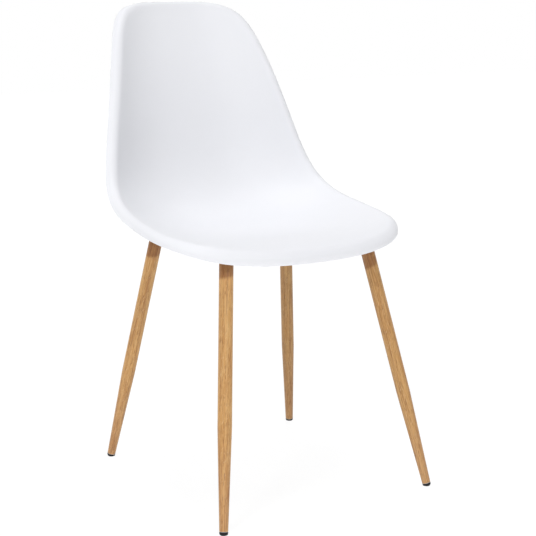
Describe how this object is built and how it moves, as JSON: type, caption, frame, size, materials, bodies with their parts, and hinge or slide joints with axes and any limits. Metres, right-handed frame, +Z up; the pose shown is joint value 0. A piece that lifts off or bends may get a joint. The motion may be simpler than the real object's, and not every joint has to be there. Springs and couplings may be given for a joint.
{
  "type": "moulded plastic shell chair",
  "caption": "Armless chair with a one-piece moulded plastic shell, rolled at its edge, on splayed, tapered, wood-grained steel legs with plastic feet.",
  "frame": {"origin": "on the floor, under the middle of the chair's bounding box", "axes": "+Z up, -Y the way the chair faces, +X the sitter's left"},
  "size_m": [0.477, 0.5682, 0.8417],
  "materials": {
    "shell_plastic": "white moulded polypropylene with a fine satin texture",
    "leg_finish": "oak wood-grain film on steel tube, satin",
    "frame_paint": "black powder coat, fine texture",
    "foot_plastic": "black moulded plastic",
    "zinc_steel": "zinc-plated steel",
    "insert_brass": "turned brass",
    "pad_rubber": "black rubber"
  },
  "bodies": {
    "root": {"seat_shell": "shell_plastic", "frame_rail_through": "frame_paint", "frame_rail_front_half": "frame_paint", "frame_rail_rear_half": "frame_paint", "corner_plate_front_left": "frame_paint", "leg_plate_front_left": "frame_paint", "leg_front_left": "leg_finish", "foot_front_left": "foot_plastic", "corner_plate_front_right": "frame_paint", "leg_plate_front_right": "frame_paint", "leg_front_right": "leg_finish", "foot_front_right": "foot_plastic", "corner_plate_rear_left": "frame_paint", "leg_plate_rear_left": "frame_paint", "leg_rear_left": "leg_finish", "foot_rear_left": "foot_plastic", "corner_plate_rear_right": "frame_paint", "leg_plate_rear_right": "frame_paint", "leg_rear_right": "leg_finish", "foot_rear_right": "foot_plastic", "leg_bolts": "zinc_steel", "leg_bolt_washers": "zinc_steel", "leg_spring_washers": "zinc_steel", "weld_nuts": "zinc_steel", "shell_bolts": "zinc_steel", "shell_bolt_washers": "zinc_steel", "shell_inserts": "insert_brass", "seat_pads": "pad_rubber"}
  },
  "joints": []
}
